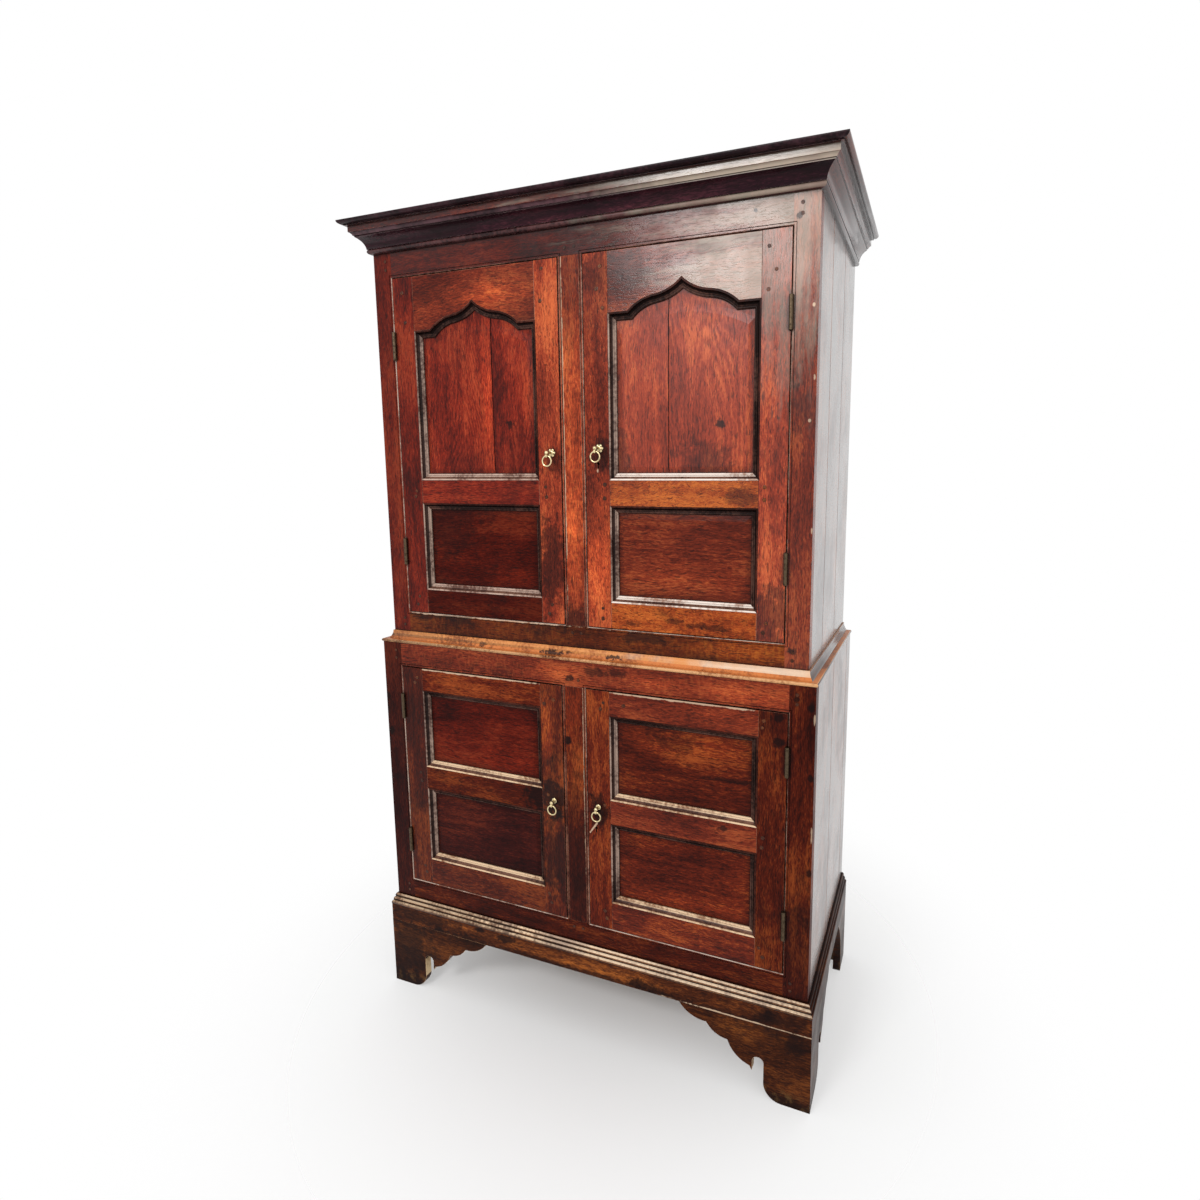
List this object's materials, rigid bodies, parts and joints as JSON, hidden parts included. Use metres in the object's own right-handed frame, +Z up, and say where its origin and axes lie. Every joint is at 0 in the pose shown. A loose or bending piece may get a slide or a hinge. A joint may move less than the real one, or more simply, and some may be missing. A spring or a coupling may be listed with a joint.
{
  "type": "press cupboard",
  "caption": "Two stage oak press cupboard with a moulded cornice, arched panelled upper doors, panelled lower doors with ring handles, and a reeded plinth on scalloped bracket feet.",
  "frame": {"origin": "centre of the footprint of the overall box, on the floor", "axes": "+X to the right as seen from the front, +Y to the back, +Z up"},
  "size_m": [1.158, 0.554, 1.93],
  "materials": {
    "oak_case": "old wax polish",
    "oak_door": "old wax polish",
    "oak_panel": "old wax polish",
    "inside_boards": "bare, aged",
    "brass": "worn polish",
    "hinge_metal": "dulled",
    "lock_iron": "dark, aged"
  },
  "bodies": {
    "carcase": {"upper_front_stiles": "oak_case", "upper_frieze_rail": "oak_case", "upper_bottom_rail": "oak_case", "upper_muntin": "oak_case", "lower_front_stiles": "oak_case", "lower_top_rail": "oak_case", "lower_bottom_rail": "oak_case", "lower_muntin": "oak_case", "upper_left_side": "oak_case", "upper_right_side": "oak_case", "lower_left_side": "oak_case", "lower_right_side": "oak_case", "upper_back_boards": "inside_boards", "lower_back_boards": "inside_boards", "upper_top_boards": "inside_boards", "upper_floor_boards": "inside_boards", "lower_floor_boards": "inside_boards", "lower_top_boards": "inside_boards", "shelves": "inside_boards", "shelf_bearers": "inside_boards", "cornice_front": "oak_case", "cornice_returns": "oak_case", "waist_moulding": "oak_case", "plinth": "oak_case", "bracket_feet": "oak_case", "foot_blocks": "inside_boards", "frame_pegs": "oak_case", "frame_hinges": "hinge_metal"},
    "upper_left_door": {"upper_left_door_stiles": "oak_door", "upper_left_door_rails": "oak_door", "upper_left_door_panels": "oak_panel", "upper_left_door_mouldings": "oak_door", "upper_left_door_hinge_leaves": "hinge_metal"},
    "upper_left_latch": {"upper_left_latch": "brass"},
    "upper_left_ring": {"upper_left_ring": "brass"},
    "upper_right_door": {"upper_right_door_stiles": "oak_door", "upper_right_door_rails": "oak_door", "upper_right_door_panels": "oak_panel", "upper_right_door_mouldings": "oak_door", "upper_right_door_hinge_leaves": "hinge_metal", "upper_lock_case": "lock_iron"},
    "upper_right_latch": {"upper_right_latch": "brass"},
    "upper_right_ring": {"upper_right_ring": "brass"},
    "upper_lock_bolt": {"upper_lock_bolt": "lock_iron"},
    "lower_left_door": {"lower_left_door_stiles": "oak_door", "lower_left_door_rails": "oak_door", "lower_left_door_panels": "oak_panel", "lower_left_door_mouldings": "oak_door", "lower_left_door_hinge_leaves": "hinge_metal"},
    "lower_left_latch": {"lower_left_latch": "brass"},
    "lower_left_ring": {"lower_left_ring": "brass"},
    "lower_right_door": {"lower_right_door_stiles": "oak_door", "lower_right_door_rails": "oak_door", "lower_right_door_panels": "oak_panel", "lower_right_door_mouldings": "oak_door", "lower_right_door_hinge_leaves": "hinge_metal", "lower_lock_case": "lock_iron"},
    "lower_right_latch": {"lower_right_latch": "brass"},
    "lower_right_ring": {"lower_right_ring": "brass"},
    "lower_lock_bolt": {"lower_lock_bolt": "lock_iron"}
  },
  "joints": [
    {"name": "upper_left_door_hinge", "type": "hinge", "parent": "carcase", "child": "upper_left_door", "pos_m": [-0.474, -0.226, 1.407], "axis": [0, 0, -1], "range_deg": [0, 160]},
    {"name": "upper_left_latch_turn", "type": "hinge", "parent": "upper_left_door", "child": "upper_left_latch", "pos_m": [-0.054, -0.223, 1.397], "axis": [0, 1, 0], "range_deg": [0, 90]},
    {"name": "upper_left_ring_swing", "type": "hinge", "parent": "upper_left_latch", "child": "upper_left_ring", "pos_m": [-0.054, -0.244, 1.3898], "axis": [-1, 0, 0], "range_deg": [-40, 120]},
    {"name": "upper_right_door_hinge", "type": "hinge", "parent": "carcase", "child": "upper_right_door", "pos_m": [0.474, -0.226, 1.407], "axis": [0, 0, 1], "range_deg": [0, 160]},
    {"name": "upper_right_latch_turn", "type": "hinge", "parent": "upper_right_door", "child": "upper_right_latch", "pos_m": [0.0645, -0.223, 1.405], "axis": [0, -1, 0], "range_deg": [0, 90]},
    {"name": "upper_right_ring_swing", "type": "hinge", "parent": "upper_right_latch", "child": "upper_right_ring", "pos_m": [0.0645, -0.244, 1.3978], "axis": [-1, 0, 0], "range_deg": [-40, 120]},
    {"name": "upper_lock_bolt_slide", "type": "slide", "parent": "upper_right_door", "child": "upper_lock_bolt", "axis": [-1, 0, 0], "range_m": [0, 0.014]},
    {"name": "lower_left_door_hinge", "type": "hinge", "parent": "carcase", "child": "lower_left_door", "pos_m": [-0.49, -0.246, 0.592], "axis": [0, 0, -1], "range_deg": [0, 160]},
    {"name": "lower_left_latch_turn", "type": "hinge", "parent": "lower_left_door", "child": "lower_left_latch", "pos_m": [-0.058, -0.243, 0.592], "axis": [0, 1, 0], "range_deg": [0, 90]},
    {"name": "lower_left_ring_swing", "type": "hinge", "parent": "lower_left_latch", "child": "lower_left_ring", "pos_m": [-0.058, -0.255, 0.5848], "axis": [-1, 0, 0], "range_deg": [-20, 120]},
    {"name": "lower_right_door_hinge", "type": "hinge", "parent": "carcase", "child": "lower_right_door", "pos_m": [0.49, -0.246, 0.592], "axis": [0, 0, 1], "range_deg": [0, 160]},
    {"name": "lower_right_latch_turn", "type": "hinge", "parent": "lower_right_door", "child": "lower_right_latch", "pos_m": [0.058, -0.243, 0.597], "axis": [0, -1, 0], "range_deg": [0, 90]},
    {"name": "lower_right_ring_swing", "type": "hinge", "parent": "lower_right_latch", "child": "lower_right_ring", "pos_m": [0.058, -0.255, 0.5898], "axis": [-1, 0, 0], "range_deg": [-20, 120]},
    {"name": "lower_lock_bolt_slide", "type": "slide", "parent": "lower_right_door", "child": "lower_lock_bolt", "axis": [-1, 0, 0], "range_m": [0, 0.014]}
  ]
}
